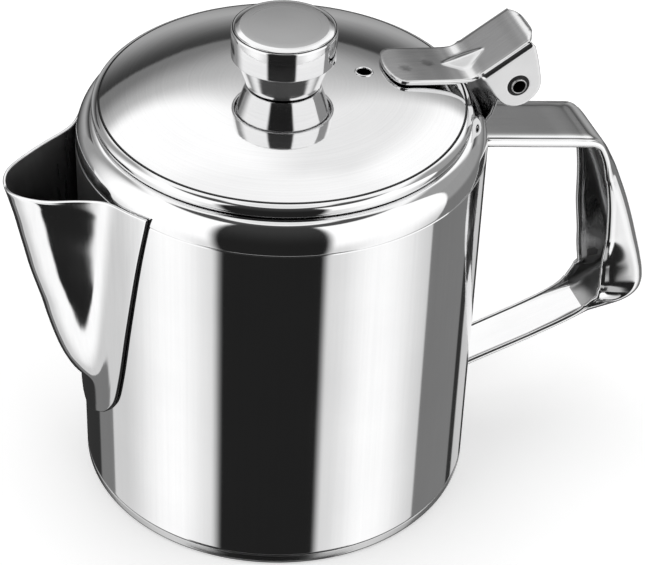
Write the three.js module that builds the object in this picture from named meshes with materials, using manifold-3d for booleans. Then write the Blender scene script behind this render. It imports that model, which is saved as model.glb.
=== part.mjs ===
// Stainless steel coffee jug with a hinged lid.
// Millimetres, +Z up. The origin is on the axis of the body, on the plane that the jug
// stands on. +X points at the handle, -X at the spout, and XZ is the plane of symmetry.
import * as THREE from 'three';
import { mergeVertices } from 'three/addons/utils/BufferGeometryUtils.js';
import Module from 'manifold-3d';

const wasm = await Module();
wasm.setup();

// ---------------------------------------------------------------- driving dimensions
const BODY_R = 52.5;          // outside radius of the straight wall
const WALL = 1.0;             // body sheet
const GAP = 0.3;              // clearance between two touching pieces
const BASE_H = 3.3;           // height of the base band seen from outside
const BASE_RECESS = 0.8;      // how far the middle of the base stands off the table
const SHOULDER_Z = 101.5;     // where the straight wall ends
const LEDGE_Z = 109.1;        // top of the shoulder, where the lid sits
const LEDGE_R = 47.5;         // radius where the shoulder turns flat
const MOUTH_R = 44.5;         // clear radius of the mouth
const LIP_Z = 106.2;          // lower end of the turned-in lip

const POUR_W = 14.0;          // pour slot in the wall behind the spout
const POUR_Z0 = 52.0;
const POUR_Z1 = 88.0;

const DOME_TOP = 117.2;       // crown of the lid
const DOME_SAG = 4.6;         // fall of the lid from the crown to DOME_EDGE
const DOME_POWER = 3.6;       // flat in the middle, rounder towards the rim
const DOME_EDGE = 46.5;       // where the dome meets the rim
const LID_T = 1.0;            // lid sheet
const LID_R = 48.3;           // outside of the rounded rim
const VENT_X = 21.3;          // vent hole in the lid
const VENT_R = 1.8;
const RING_R = 43.6;          // locating ring under the lid, outside
const RING_Z0 = 105.2;        // lower edge of that ring

const CAP_R = 13.3;           // knob cap
const CAP_Z0 = 125.2;
const CAP_Z1 = 134.0;
const NECK_R = 9.6;           // foot of the knob neck
const NECK_TOP_R = 12.2;      // where the neck flares out under the cap
const SCREW_R = 2.0;

const PIN_X = 60.0;           // hinge axis, parallel to Y
const PIN_Z = 112.6;
const PIN_R = 2.2;
const PIN_BORE = 1.55;
const PIN_HEAD_R = 3.0;
const PIN_HOLE_R = 2.55;
const KNUCKLE_R = 3.6;
const BRACKET_HW = 7.4;       // half width of the hinge bracket
const BRACKET_T = 1.05;

const LEAF_HW = 8.5;          // half width of the lid lever
const LEAF_X0 = 26.5;         // inner end of the leaf on the lid
const LEVER_T = 1.0;
const EAR_R = 6.3;            // ear round the pin
const EAR_Y0 = 8.3;
const EAR_Y1 = 9.4;

const SPOUT_T = 0.9;
const SPOUT_GAP = 0.45;      // weld gap between spout flange and wall
const STRAP_T = 1.1;          // handle sheet
const STRAP_HEM = 0.95;       // radius of the rolled edge of the handle

const SEG = 60;               // facets round the big turned pieces
const SEG_SMALL = 32;         // facets round the small ones

// ---------------------------------------------------------------- geometry helpers
const rad = (d) => (d * Math.PI) / 180;

function table(rows) {
  // piecewise linear look-up, rows are [x, y] with x rising
  return (x) => {
    if (x <= rows[0][0]) return rows[0][1];
    for (let i = 1; i < rows.length; i++) {
      if (x <= rows[i][0]) {
        const [x0, y0] = rows[i - 1];
        const [x1, y1] = rows[i];
        return y0 + ((y1 - y0) * (x - x0)) / (x1 - x0);
      }
    }
    return rows[rows.length - 1][1];
  };
}

// keeps positions only, welds shared corners, drops slivers and turns the faces outwards
function closed(geometry) {
  let g = geometry.index ? geometry.toNonIndexed() : geometry.clone();
  for (const name of Object.keys(g.attributes)) if (name !== 'position') g.deleteAttribute(name);
  g = mergeVertices(g, 1e-4);
  const p = g.attributes.position;
  const src = g.index.array;
  const tri = [];
  for (let i = 0; i < src.length; i += 3) {
    const [a, b, c] = [src[i], src[i + 1], src[i + 2]];
    if (a !== b && b !== c && c !== a) tri.push(a, b, c);
  }
  let volume = 0;
  const [A, B, C] = [new THREE.Vector3(), new THREE.Vector3(), new THREE.Vector3()];
  for (let i = 0; i < tri.length; i += 3) {
    A.fromBufferAttribute(p, tri[i]);
    B.fromBufferAttribute(p, tri[i + 1]);
    C.fromBufferAttribute(p, tri[i + 2]);
    volume += A.dot(B.cross(C));
  }
  if (volume < 0) for (let i = 0; i < tri.length; i += 3) [tri[i + 1], tri[i + 2]] = [tri[i + 2], tri[i + 1]];
  g.setIndex(tri);
  return g;
}

function solid(geometry) {
  const g = closed(geometry);
  return new wasm.Manifold(new wasm.Mesh({
    numProp: 3,
    vertProperties: Float32Array.from(g.attributes.position.array),
    triVerts: Uint32Array.from(g.index.array),
  }));
}

function geometryOf(manifold) {
  const m = manifold.getMesh();
  const g = new THREE.BufferGeometry();
  g.setAttribute('position', new THREE.BufferAttribute(Float32Array.from(m.vertProperties), 3));
  g.setIndex(Array.from(m.triVerts));
  return g;
}

// profile of [radius, z], turned round Z; a profile off the axis closes on itself
function turned(profile, seg = SEG) {
  const pts = profile.map(([r, z]) => new THREE.Vector2(r, z));
  const onAxis = profile[0][0] === 0 && profile[profile.length - 1][0] === 0;
  if (!onAxis) pts.push(pts[0].clone());
  return closed(new THREE.LatheGeometry(pts, seg).rotateX(Math.PI / 2));
}

// outline of [x, z] points in the plane of symmetry, given a width from y0 to y1
function slab(outline, y0, y1, holes = []) {
  const shape = new THREE.Shape(outline.map(([x, z]) => new THREE.Vector2(x, z)));
  for (const h of holes) shape.holes.push(new THREE.Path(h.map(([x, z]) => new THREE.Vector2(x, z))));
  const g = new THREE.ExtrudeGeometry(shape, { depth: y1 - y0, bevelEnabled: false, curveSegments: 24 });
  // shape plane XY becomes XZ, the depth runs along -Y
  return closed(g.rotateX(Math.PI / 2).translate(0, y1, 0));
}

function circle(cx, cz, r, n = 32, a0 = 0, a1 = 360) {
  const full = Math.abs(a1 - a0) >= 360;
  const out = [];
  for (let i = 0; i < (full ? n : n + 1); i++) {
    const a = rad(a0 + ((a1 - a0) * i) / n);
    out.push([cx + r * Math.cos(a), cz + r * Math.sin(a)]);
  }
  return out;
}

// a strip of sheet: a centre line of [x, z] given a thickness, as a closed outline
function stripOutline(line, t) {
  const left = [];
  const right = [];
  for (let i = 0; i < line.length; i++) {
    const a = line[Math.max(i - 1, 0)];
    const b = line[Math.min(i + 1, line.length - 1)];
    const dx = b[0] - a[0];
    const dz = b[1] - a[1];
    const l = Math.hypot(dx, dz);
    left.push([line[i][0] - (dz / l) * t / 2, line[i][1] + (dx / l) * t / 2]);
    right.push([line[i][0] + (dz / l) * t / 2, line[i][1] - (dx / l) * t / 2]);
  }
  return [...left, ...right.reverse()];
}

// rings of points with equal counts, joined one after the other and capped at both ends
function loft(rings) {
  const n = rings[0].length;
  const position = [];
  for (const ring of rings) for (const p of ring) position.push(p[0], p[1], p[2]);
  const index = [];
  for (let i = 0; i + 1 < rings.length; i++) {
    for (let j = 0; j < n; j++) {
      const a = i * n + j;
      const b = i * n + ((j + 1) % n);
      index.push(a, b, b + n, a, b + n, a + n);
    }
  }
  return { position, index, n, count: rings.length };
}

function geometryFrom(position, index) {
  const g = new THREE.BufferGeometry();
  g.setAttribute('position', new THREE.BufferAttribute(Float32Array.from(position), 3));
  g.setIndex(index);
  return closed(g);
}

// ---------------------------------------------------------------- body and base
function bodyShell() {
  const outer = [[BODY_R, BASE_H + GAP], [BODY_R, SHOULDER_Z]];
  const inner = [];
  for (let i = 1; i <= 5; i++) {
    const a = rad(18 * i);
    outer.push([LEDGE_R + (BODY_R - LEDGE_R) * Math.cos(a), SHOULDER_Z + (LEDGE_Z - SHOULDER_Z) * Math.sin(a)]);
  }
  for (let i = 5; i >= 0; i--) {
    const a = rad(18 * i);
    inner.push([LEDGE_R + (BODY_R - LEDGE_R - WALL) * Math.cos(a), SHOULDER_Z + (LEDGE_Z - SHOULDER_Z - WALL) * Math.sin(a)]);
  }
  const lip = [[45.6, LEDGE_Z], [44.85, LEDGE_Z - 0.35], [MOUTH_R, LEDGE_Z - 1.1], [MOUTH_R, LIP_Z], [45.5, LIP_Z], [45.5, LEDGE_Z - 1.4], [45.9, LEDGE_Z - WALL]];
  const shell = solid(turned([...outer, ...lip, ...inner, [BODY_R - WALL, BASE_H + GAP]]));
  // pour slot behind the spout
  const w = POUR_W / 2;
  const slot = new THREE.Shape();
  slot.moveTo(-w, POUR_Z0 + w);
  slot.lineTo(-w, POUR_Z1 - w);
  slot.absarc(0, POUR_Z1 - w, w, Math.PI, 0, true);
  slot.lineTo(w, POUR_Z0 + w);
  slot.absarc(0, POUR_Z0 + w, w, 0, -Math.PI, true);
  const cutter = new THREE.ExtrudeGeometry(slot, { depth: 20, bevelEnabled: false, curveSegments: 10 });
  cutter.rotateX(Math.PI / 2).rotateZ(Math.PI / 2).translate(-65, 0, 0);
  return geometryOf(shell.subtract(solid(cutter)));
}

function basePan() {
  const r = BODY_R;
  return turned([
    [0, BASE_RECESS + 1.1], [46.8, BASE_RECESS + 1.1], [48.8, 2.5], [50.0, 3.8], [50.2, 5.2], [50.2, 9.4], [51.2, 9.4], [51.2, BASE_H],
    [r, BASE_H], [r, 1.7], [r - 0.35, 0.75], [r - 1.0, 0.2], [r - 1.7, 0], [48.4, 0], [46.8, BASE_RECESS], [0, BASE_RECESS],
  ]);
}

// ---------------------------------------------------------------- spout
const spoutKeel = table([[24, 53.7], [33, 53.9], [35.6, 54.7], [39, 57.3], [42, 58.8], [45, 60], [50.7, 61.7], [56.4, 63.1], [61.9, 64.3],
  [67.3, 65.7], [72.7, 67], [78, 68], [83.2, 69], [88.3, 69.95], [93.4, 71.1], [96.1, 71.75], [98.5, 72.4], [106, 73.4]]);
const spoutEdge = table([[24.8, 4], [26, 6.5], [28.7, 11], [31.5, 15.2], [34.8, 18.4], [39, 21.2], [46.4, 23.5], [65.7, 27.6], [89.5, 32.7], [104.2, 36.3], [106, 36.7]]);
const spoutLeave = table([[24.8, 0.22], [33, 0.3], [36, 0.4], [39, 0.5], [45, 0.6], [55, 0.65], [80, 0.67], [106, 0.67]]);
const spoutSide = table([[0, 1], [0.05, 0.915], [0.12, 0.848], [0.3, 0.733], [0.62, 0.541], [0.784, 0.41], [0.896, 0.295], [0.97, 0.16], [1, 0]]);
const spoutTop = table([[0, 97.3], [0.1, 98], [0.38, 99], [0.66, 100.6], [0.88, 101.7], [1, 102.3]]);

// inside line of the spout at one height, from one weld edge round the nose to the other
function spoutSection(z, us) {
  const rIn = BODY_R + SPOUT_GAP;
  const edge = spoutEdge(z);
  const leave = spoutLeave(z) * edge;
  const xd = rIn * Math.cos(rad(leave));
  const yd = rIn * Math.sin(rad(leave));
  const keel = Math.max(spoutKeel(z) - SPOUT_T, rIn);
  const f = spoutLeave(z);
  return us.map((u) => {
    const s = Math.sign(u);
    const m = Math.abs(u);
    if (m >= f) {
      const a = rad(m * edge);
      return [-rIn * Math.cos(a), s * rIn * Math.sin(a)];
    }
    // along the side of the trough: equal steps of q crowd the points at the round nose
    const q = 1 - m / f;
    const t = q < 0.75 ? (q / 0.75) * 0.8 : 0.8 + 0.2 * Math.sin(((q - 0.75) / 0.25) * Math.PI / 2);
    return [-(xd + (keel - xd) * t), s * yd * spoutSide(t)];
  });
}

function smooth(line, passes) {
  let p = line;
  for (let k = 0; k < passes; k++) {
    p = p.map((v, i) => (i === 0 || i === p.length - 1 ? v
      : [0.25 * p[i - 1][0] + 0.5 * v[0] + 0.25 * p[i + 1][0], 0.25 * p[i - 1][1] + 0.5 * v[1] + 0.25 * p[i + 1][1]]));
  }
  return p;
}

function spout() {
  const NU = 36;
  const NV = 12;
  const us = [];
  for (let i = 0; i <= NU; i++) us.push(-1 + (2 * i) / NU);
  const inner = [];
  const outer = [];
  for (let j = 0; j <= NV; j++) {
    const v = j / NV;
    const rowIn = [];
    const rowOut = [];
    // every column has its own top, so each row is sampled column by column
    for (let i = 0; i <= NU; i++) {
      const m = Math.abs(us[i]);
      const f = 0.67;
      const top = m >= f ? 102.3 + ((m - f) / (1 - f)) * 1.3 : spoutTop(m / f);
      const z = 24.9 + (top - 24.9) * Math.pow(v, 0.85);
      const line = smooth(spoutSection(z, us), 2);
      const a = line[Math.max(i - 1, 0)];
      const b = line[Math.min(i + 1, NU)];
      const l = Math.hypot(b[0] - a[0], b[1] - a[1]);
      // outward normal: away from the axis of the body
      let nx = (b[1] - a[1]) / l;
      let ny = -(b[0] - a[0]) / l;
      if (nx * line[i][0] + ny * line[i][1] < 0) { nx = -nx; ny = -ny; }
      rowIn.push([line[i][0], line[i][1], z]);
      rowOut.push([line[i][0] + nx * SPOUT_T, line[i][1] + ny * SPOUT_T, z]);
    }
    inner.push(rowIn);
    outer.push(rowOut);
  }
  // one closed ring per row: the inside line and back along the outside line
  const rings = inner.map((row, j) => [...row, ...outer[j].slice().reverse()]);
  const { position, index, n, count } = loft(rings);
  for (const [r, flip] of [[0, true], [count - 1, false]]) {
    for (let i = 0; i < NU; i++) {
      const a = r * n + i;
      const b = r * n + i + 1;
      const c = r * n + (n - 2 - i);
      const d = r * n + (n - 1 - i);
      if (flip) index.push(a, c, b, a, d, c);
      else index.push(a, b, c, a, c, d);
    }
  }
  return geometryFrom(position, index);
}

// ---------------------------------------------------------------- handle
// stations along the strap: outside of the web [x, z], rolled edge [x, z], half width
const HANDLE = [
  [[47.0, 98.4], [46.7, 96.5], 10.6], [[57.5, 96.7], [57.2, 94.8], 10.6], [[65, 95.45], [64.7, 93.5], 10.6], [[73, 94.1], [72.7, 92.15], 10.6],
  [[80.5, 92.85], [80.1, 90.9], 10.7], [[83.8, 92.15], [83.0, 90.3], 10.8], [[86.1, 90.9], [84.4, 89.4], 10.95], [[87.7, 88.9], [85.3, 87.8], 11.1],
  [[89.2, 86.2], [86.3, 85.2], 11.25], [[91.1, 82.4], [87.2, 81.2], 11.4], [[93.1, 77.6], [88.15, 76.2], 11.5], [[95.4, 71.8], [89.0, 70.3], 11.55],
  [[97.9, 64.6], [89.6, 63.0], 11.55], [[100.2, 57.2], [90.0, 55.6], 11.5], [[102.2, 50.4], [90.4, 49.2], 11.4], [[103.5, 45.2], [90.7, 44.4], 11.2],
  [[103.9, 42.0], [90.95, 41.9], 10.95], [[103.6, 39.2], [91.1, 40.3], 10.5], [[102.3, 36.8], [91.0, 39.0], 9.9], [[100.1, 34.8], [90.6, 37.9], 9.2],
  [[96.9, 33.2], [89.8, 36.8], 8.5], [[92.6, 31.75], [88.0, 35.2], 7.9], [[86.5, 29.8], [85.1, 32.9], 7.45], [[79, 27.4], [78.15, 29.9], 7.25],
  [[68.5, 23.95], [67.85, 25.95], 7.15], [[58.5, 20.65], [57.9, 22.55], 7.05], [[47.0, 16.85], [46.4, 18.75], 7.0],
];

// section of the strap in (y, depth): web on top, two side walls, rolled edges
function strapSection(hw, depth) {
  const h = STRAP_HEM;
  const t = STRAP_T;
  const rc = Math.min(3.6, Math.max(0.9, depth - h - 0.03));   // corner between web and wall
  const dc = depth - h;                                        // centre of the rolled edge
  const half = [[0, 0], [(hw - rc) * 0.55, 0]];
  for (const a of [0, 22.5, 45, 67.5, 90]) half.push([hw - rc + rc * Math.sin(rad(a)), rc - rc * Math.cos(rad(a))]);
  // the rolled edge turns inwards until it meets the inside of the wall or of the web
  const turn = 180 + (Math.asin(Math.min(0.98, (dc - t - 0.12) / h)) * 180) / Math.PI;
  for (let i = 1; i <= 6; i++) {
    const a = rad((turn * i) / 6);
    half.push([hw - h + h * Math.cos(a), dc + h * Math.sin(a)]);
  }
  const [yb, db] = half[half.length - 1];
  const ri = Math.min(Math.max(rc - t, 0.15), db - t - 0.02);
  for (const a of [70, 35, 0]) half.push([yb - ri + ri * Math.sin(rad(a)), t + ri - ri * Math.cos(rad(a))]);
  half.push([(hw - rc) * 0.55, t], [0, t]);
  return half;
}

function handle() {
  const rings = HANDLE.map(([o, e, hw]) => {
    const dx = e[0] - o[0];
    const dz = e[1] - o[1];
    const depth = Math.hypot(dx, dz);
    const half = strapSection(hw, depth);
    const ring = [];
    const put = (y, d) => ring.push([o[0] + (dx / depth) * d, y, o[1] + (dz / depth) * d]);
    for (let j = 0; j < half.length; j++) put(half[j][0], half[j][1]);
    for (let j = half.length - 2; j >= 1; j--) put(-half[j][0], half[j][1]);
    return ring;
  });
  const { position, index, n, count } = loft(rings);
  const turnOf = (p) => p.reduce((sum, v, i) => sum + v.x * p[(i + 1) % p.length].y - v.y * p[(i + 1) % p.length].x, 0);
  for (const [r, along] of [[0, false], [count - 1, true]]) {
    const pts = rings[r].map((p) => new THREE.Vector2(p[1], p[2]));
    const sense = Math.sign(turnOf(pts));
    for (const [a, b, c] of THREE.ShapeUtils.triangulateShape(pts.map((v) => v.clone()), [])) {
      const same = Math.sign(turnOf([pts[a], pts[b], pts[c]])) === sense;
      if (same === along) index.push(r * n + a, r * n + b, r * n + c);
      else index.push(r * n + a, r * n + c, r * n + b);
    }
  }
  // both ends are cut to the round of the body
  const round = new THREE.CylinderGeometry(BODY_R + 0.4, BODY_R + 0.4, 140, 144).rotateX(Math.PI / 2).translate(0, 0, 60);
  return geometryOf(solid(geometryFrom(position, index)).subtract(solid(round)));
}

// ---------------------------------------------------------------- lid
const domeZ = (r) => DOME_TOP - DOME_SAG * Math.pow(r / DOME_EDGE, DOME_POWER);

function lidDome() {
  const p = [];
  for (const r of [2.4, 14, 22, 29, 35, 40, 43.8, DOME_EDGE]) p.push([r, domeZ(r)]);
  // the rim turns out and down, and its rolled lower edge rests over the ledge of the body
  p.push([LID_R - 1.0, 112.3], [LID_R - 0.33, 111.55], [LID_R, 110.6], [LID_R - 0.08, 109.9], [LID_R - 0.6, 109.45], [LID_R - 1.4, 109.45], [46.0, 109.85], [45.55, 110.8]);
  for (const r of [45.0, 42.5, 39, 35, 29, 22, 14, 2.4]) p.push([r, domeZ(r) - LID_T]);
  const lid = solid(turned(p));
  const drill = new THREE.CylinderGeometry(VENT_R, VENT_R, 20, 24).rotateX(Math.PI / 2).translate(VENT_X, 0, DOME_TOP);
  return geometryOf(lid.subtract(solid(drill)));
}

function lidRing() {
  const r = RING_R;
  const t = 0.8;
  const under = (q) => domeZ(q) - LID_T - GAP - 0.03;
  return turned([
    [r - t, RING_Z0], [r - t / 2, RING_Z0 - 0.25], [r, RING_Z0], [r, under(r) - 0.2], [r - 0.3, under(r - 0.3)], [39.5, under(39.5)], [39.5, under(39.5) - t], [r - t - 0.3, under(r - t) - t], [r - t, under(r) - t - 0.4],
  ]);
}

function knobNeck() {
  const foot = (r) => domeZ(r) + GAP;
  return turned([
    [2.5, foot(2.5)], [NECK_R - 0.25, foot(NECK_R)], [NECK_R, foot(NECK_R) + 0.3], [NECK_R + 0.1, 118.4], [NECK_TOP_R - 0.15, 125.0], [NECK_TOP_R, 125.4], [NECK_TOP_R, 125.9], [2.5, 125.9],
  ], SEG_SMALL);
}

function knobCap() {
  const r = CAP_R;
  return turned([
    [0, 131.0], [2.3, 130.6], [2.3, 126.2], [r - 0.75, 126.2], [r - 0.75, 125.4], [r - 0.55, CAP_Z0], [r - 0.25, 125.25], [r, 125.7],
    [r, 132.6], [r - 0.15, 133.05], [r - 0.5, 133.3], [r - 1.9, 133.75], [5, 133.95], [0, CAP_Z1],
  ], SEG_SMALL);
}

function knobScrew() {
  return turned([
    [0, 111.9], [1.6, 112.0], [3.0, 112.4], [3.9, 113.1], [4.2, 113.9], [4.2, 114.3], [SCREW_R, 114.3], [SCREW_R, 129.6], [SCREW_R - 0.5, 130.2], [0, 130.2],
  ], 28);
}

function knobWasher() {
  return turned([[2.4, 114.6], [6.3, 114.6], [6.5, 114.8], [6.5, 115.55], [6.3, 115.75], [2.4, 115.75]], 32);
}

// ---------------------------------------------------------------- hinge
// centre line of the lid lever: leaf on the lid, bend, thumb plate, turned-down end
const LEVER_LINE = [
  [LEAF_X0, 117.5], [32, 117.0], [38, 116.25], [44, 115.52], [46.6, 115.32], [48.2, 115.4], [49.6, 115.9], [51.2, 116.85], [55, 119.45], [59, 122.15], [61.8, 124.05], [63.2, 124.8], [64.1, 124.9], [64.8, 124.5],
];

function hingeLever() {
  const strip = solid(slab(stripOutline(LEVER_LINE, LEVER_T), -LEAF_HW, LEAF_HW));
  // plan outline: inner end slightly bowed with round corners, outer end bowed
  const plan = new THREE.Shape();
  const hw = LEAF_HW;
  plan.moveTo(LEAF_X0 + 4.0, -hw);
  plan.lineTo(62.9, -hw);
  plan.quadraticCurveTo(66.5, 0, 62.9, hw);
  plan.lineTo(LEAF_X0 + 4.0, hw);
  plan.quadraticCurveTo(LEAF_X0 + 2.2, hw, LEAF_X0 + 1.3, hw - 2.2);
  plan.quadraticCurveTo(LEAF_X0 - 0.7, 0, LEAF_X0 + 1.3, -hw + 2.2);
  plan.quadraticCurveTo(LEAF_X0 + 2.2, -hw, LEAF_X0 + 4.0, -hw);
  const planCut = new THREE.ExtrudeGeometry(plan, { depth: 40, bevelEnabled: false, curveSegments: 8 }).translate(0, 0, 100);
  let lever = strip.intersect(solid(planCut));
  // ears folded down both sides, round the pin
  const ear = [
    [49.4, 115.9], [50.6, 114.5],
    ...circle(PIN_X, PIN_Z, EAR_R, 16, 212, 372),
    [65.4, 118.2], [63.7, 122.9], [62.3, 124.0], [55, 119.45], [51.2, 116.9],
  ];
  const hole = circle(PIN_X, PIN_Z, PIN_HOLE_R, 24).reverse();
  for (const [y0, y1] of [[-EAR_Y1, -EAR_Y0], [EAR_Y0, EAR_Y1]]) lever = lever.add(solid(slab(ear, y0, y1, [hole])));
  return geometryOf(lever);
}

function hingeBracket() {
  const mean = KNUCKLE_R - BRACKET_T / 2;
  const line = [[53.4, 97.9], [53.4, 100.4], [53.45, 102.8], [54.1, 105.8], [55.2, 108.6], [56.3, 110.9],
    ...circle(PIN_X, PIN_Z, mean, 14, 180, -80)];
  return closed(slab(stripOutline(line, BRACKET_T), -BRACKET_HW, BRACKET_HW));
}

function hingePin() {
  const y1 = EAR_Y1 + GAP;
  const r = PIN_HEAD_R;
  const g = turned([
    [PIN_BORE, -y1 - 0.45], [PIN_BORE + 0.5, -y1 - 0.85], [r - 0.5, -y1 - 0.75], [r, -y1 - 0.3], [r - 0.15, -y1], [PIN_R, -y1],
    [PIN_R, y1], [r - 0.15, y1], [r, y1 + 0.3], [r - 0.5, y1 + 0.75], [PIN_BORE + 0.5, y1 + 0.85], [PIN_BORE, y1 + 0.45],
  ], 28);
  return g.rotateX(Math.PI / 2).translate(PIN_X, 0, PIN_Z);
}

// ---------------------------------------------------------------- assembly
const steel = (hex, roughness) => new THREE.MeshStandardMaterial({ color: new THREE.Color(hex), roughness, metalness: 1 });

function piece(name, geometry, material) {
  const mesh = new THREE.Mesh(geometry, material);
  mesh.name = name;
  return mesh;
}

const jug = new THREE.Group();
jug.name = 'jug';
jug.add(piece('body_shell', bodyShell(), steel(0xc9cacc, 0.1)));
jug.add(piece('base_pan', basePan(), steel(0xbfc0c2, 0.16)));
jug.add(piece('spout', spout(), steel(0xc9cacc, 0.12)));
jug.add(piece('handle', handle(), steel(0xc6c7c9, 0.13)));
jug.add(piece('hinge_bracket', hingeBracket(), steel(0xb4b5b7, 0.2)));

const lid = new THREE.Group();
lid.name = 'lid';
lid.add(piece('lid_dome', lidDome(), steel(0xc9cacc, 0.09)));
lid.add(piece('lid_locating_ring', lidRing(), steel(0xb9babc, 0.2)));
lid.add(piece('hinge_lever', hingeLever(), steel(0xc2c3c5, 0.16)));
lid.add(piece('hinge_pin', hingePin(), steel(0xa9aaac, 0.24)));
lid.add(piece('knob_cap', knobCap(), steel(0xc4c5c7, 0.12)));
lid.add(piece('knob_neck', knobNeck(), steel(0xbcbdbf, 0.14)));
lid.add(piece('knob_screw', knobScrew(), steel(0xa6a7a9, 0.28)));
lid.add(piece('knob_washer', knobWasher(), steel(0xaeafb1, 0.26)));

const object = new THREE.Group();
object.add(jug, lid);

export default object;
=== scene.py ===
import math

import bpy
import numpy as np
from mathutils import Matrix, Vector
from mathutils.geometry import delaunay_2d_cdt


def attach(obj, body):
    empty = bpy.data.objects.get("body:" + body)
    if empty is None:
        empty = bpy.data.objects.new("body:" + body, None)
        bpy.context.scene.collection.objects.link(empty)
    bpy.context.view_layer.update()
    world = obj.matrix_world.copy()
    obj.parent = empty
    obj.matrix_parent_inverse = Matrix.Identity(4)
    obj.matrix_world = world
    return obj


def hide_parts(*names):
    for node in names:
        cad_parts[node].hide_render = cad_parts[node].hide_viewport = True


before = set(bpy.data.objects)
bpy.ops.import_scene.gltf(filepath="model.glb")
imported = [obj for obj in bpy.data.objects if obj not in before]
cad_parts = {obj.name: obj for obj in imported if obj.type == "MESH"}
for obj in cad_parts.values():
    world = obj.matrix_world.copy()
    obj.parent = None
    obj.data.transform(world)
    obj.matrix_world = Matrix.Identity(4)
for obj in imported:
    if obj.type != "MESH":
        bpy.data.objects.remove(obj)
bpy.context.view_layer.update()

# Shapes below are in millimetres in the frame of the part: Z up along the axis of the body,
# +X towards the handle, -X towards the spout. They become metres when a mesh is made.
MM = 0.001


# ------------------------------------------------------------------ numbers and curves
def rad(a):
    return math.radians(a)


def smoothstep(x, a, b):
    t = np.clip((np.asarray(x, float) - a) / (b - a), 0.0, 1.0)
    return t * t * (3 - 2 * t)


def curve(rows, monotone=True):
    """Smooth curve through rows of (x, y, ...) with rising x."""
    x = np.array([r[0] for r in rows], float)
    y = np.array([r[1:] for r in rows], float)
    h = np.diff(x)
    d = np.diff(y, axis=0) / h[:, None]
    m = np.zeros_like(y)
    m[0], m[-1] = d[0], d[-1]
    for i in range(1, len(x) - 1):
        if monotone:
            for k in range(y.shape[1]):
                if d[i - 1, k] * d[i, k] > 0:
                    w1, w2 = 2 * h[i] + h[i - 1], h[i] + 2 * h[i - 1]
                    m[i, k] = (w1 + w2) / (w1 / d[i - 1, k] + w2 / d[i, k])
        else:
            m[i] = (d[i - 1] * h[i] + d[i] * h[i - 1]) / (h[i] + h[i - 1])

    def f(q):
        q = np.clip(np.asarray(q, float), x[0], x[-1])
        i = np.clip(np.searchsorted(x, q, side="right") - 1, 0, len(x) - 2)
        t = ((q - x[i]) / h[i])[..., None]
        hh = h[i][..., None]
        v = ((2 * t**3 - 3 * t**2 + 1) * y[i] + (t**3 - 2 * t**2 + t) * hh * m[i]
             + (-2 * t**3 + 3 * t**2) * y[i + 1] + (t**3 - t**2) * hh * m[i + 1])
        return v[..., 0] if v.shape[-1] == 1 else v

    return f


def rounded(points, loop=True, step=10.0):
    """Outline through (x, z) or (x, z, radius) corners, each corner with a radius turned into an arc."""
    n = len(points)
    out = []
    for i, p in enumerate(points):
        r = p[2] if len(p) > 2 else 0.0
        if r <= 0 or (not loop and i in (0, n - 1)):
            out.append((p[0], p[1]))
            continue
        b = np.array(p[:2], float)
        a = np.array(points[i - 1][:2], float) - b
        c = np.array(points[(i + 1) % n][:2], float) - b
        la, lc = np.linalg.norm(a), np.linalg.norm(c)
        a, c = a / la, c / lc
        ang = math.acos(max(-1.0, min(1.0, float(a @ c))))
        if ang > math.pi - 1e-4:
            out.append((p[0], p[1]))
            continue
        t = min(r / math.tan(ang / 2), 0.49 * la, 0.49 * lc)
        r = t * math.tan(ang / 2)
        mid = (a + c) / np.linalg.norm(a + c)
        centre = b + mid * (r / math.sin(ang / 2))
        v0, v1 = b + a * t - centre, b + c * t - centre
        turn = math.atan2(v0[0] * v1[1] - v0[1] * v1[0], float(v0 @ v1))
        k = max(2, int(math.ceil(abs(math.degrees(turn)) / step)))
        a0 = math.atan2(v0[1], v0[0])
        for j in range(k + 1):
            q = a0 + turn * j / k
            out.append((centre[0] + r * math.cos(q), centre[1] + r * math.sin(q)))
    return out


def arc(cx, cz, rx, rz, a0, a1, k):
    return [(cx + rx * math.cos(rad(a0 + (a1 - a0) * i / k)), cz + rz * math.sin(rad(a0 + (a1 - a0) * i / k))) for i in range(k + 1)]


# ------------------------------------------------------------------ meshes
def add_mesh(name, verts, faces, sharp=None):
    v = np.asarray(verts, float)
    tri = np.array([(f[0], f[k], f[k + 1]) for f in faces for k in range(1, len(f) - 1)])
    if float((v[tri[:, 0]] * np.cross(v[tri[:, 1]], v[tri[:, 2]])).sum()) < 0:
        faces = [tuple(reversed(f)) for f in faces]
    me = bpy.data.meshes.new(name)
    me.from_pydata((v * MM).tolist(), [], [tuple(int(i) for i in f) for f in faces])
    me.update()
    me.shade_smooth()
    if sharp:
        me.set_sharp_from_angle(angle=rad(sharp))
    ob = bpy.data.objects.new(name, me)
    bpy.context.scene.collection.objects.link(ob)
    return ob


def lathe(profile, seg=192):
    """(r, z) profile turned round Z. It closes on itself, or it starts and ends on the axis."""
    verts, rows = [], []
    for r, z in profile:
        if r < 1e-9:
            rows.append([len(verts)] * seg)
            verts.append((0.0, 0.0, z))
        else:
            rows.append(list(range(len(verts), len(verts) + seg)))
            for j in range(seg):
                a = 2 * math.pi * j / seg
                verts.append((r * math.cos(a), r * math.sin(a), z))
    faces = []
    n = len(profile)
    loop = profile[0][0] > 1e-9
    for i in range(n if loop else n - 1):
        a, b = rows[i], rows[(i + 1) % n]
        for j in range(seg):
            q = [a[j], a[(j + 1) % seg], b[(j + 1) % seg], b[j]]
            q = [x for k, x in enumerate(q) if x not in q[:k]]
            if len(q) > 2:
                faces.append(tuple(q))
    return verts, faces


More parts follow.
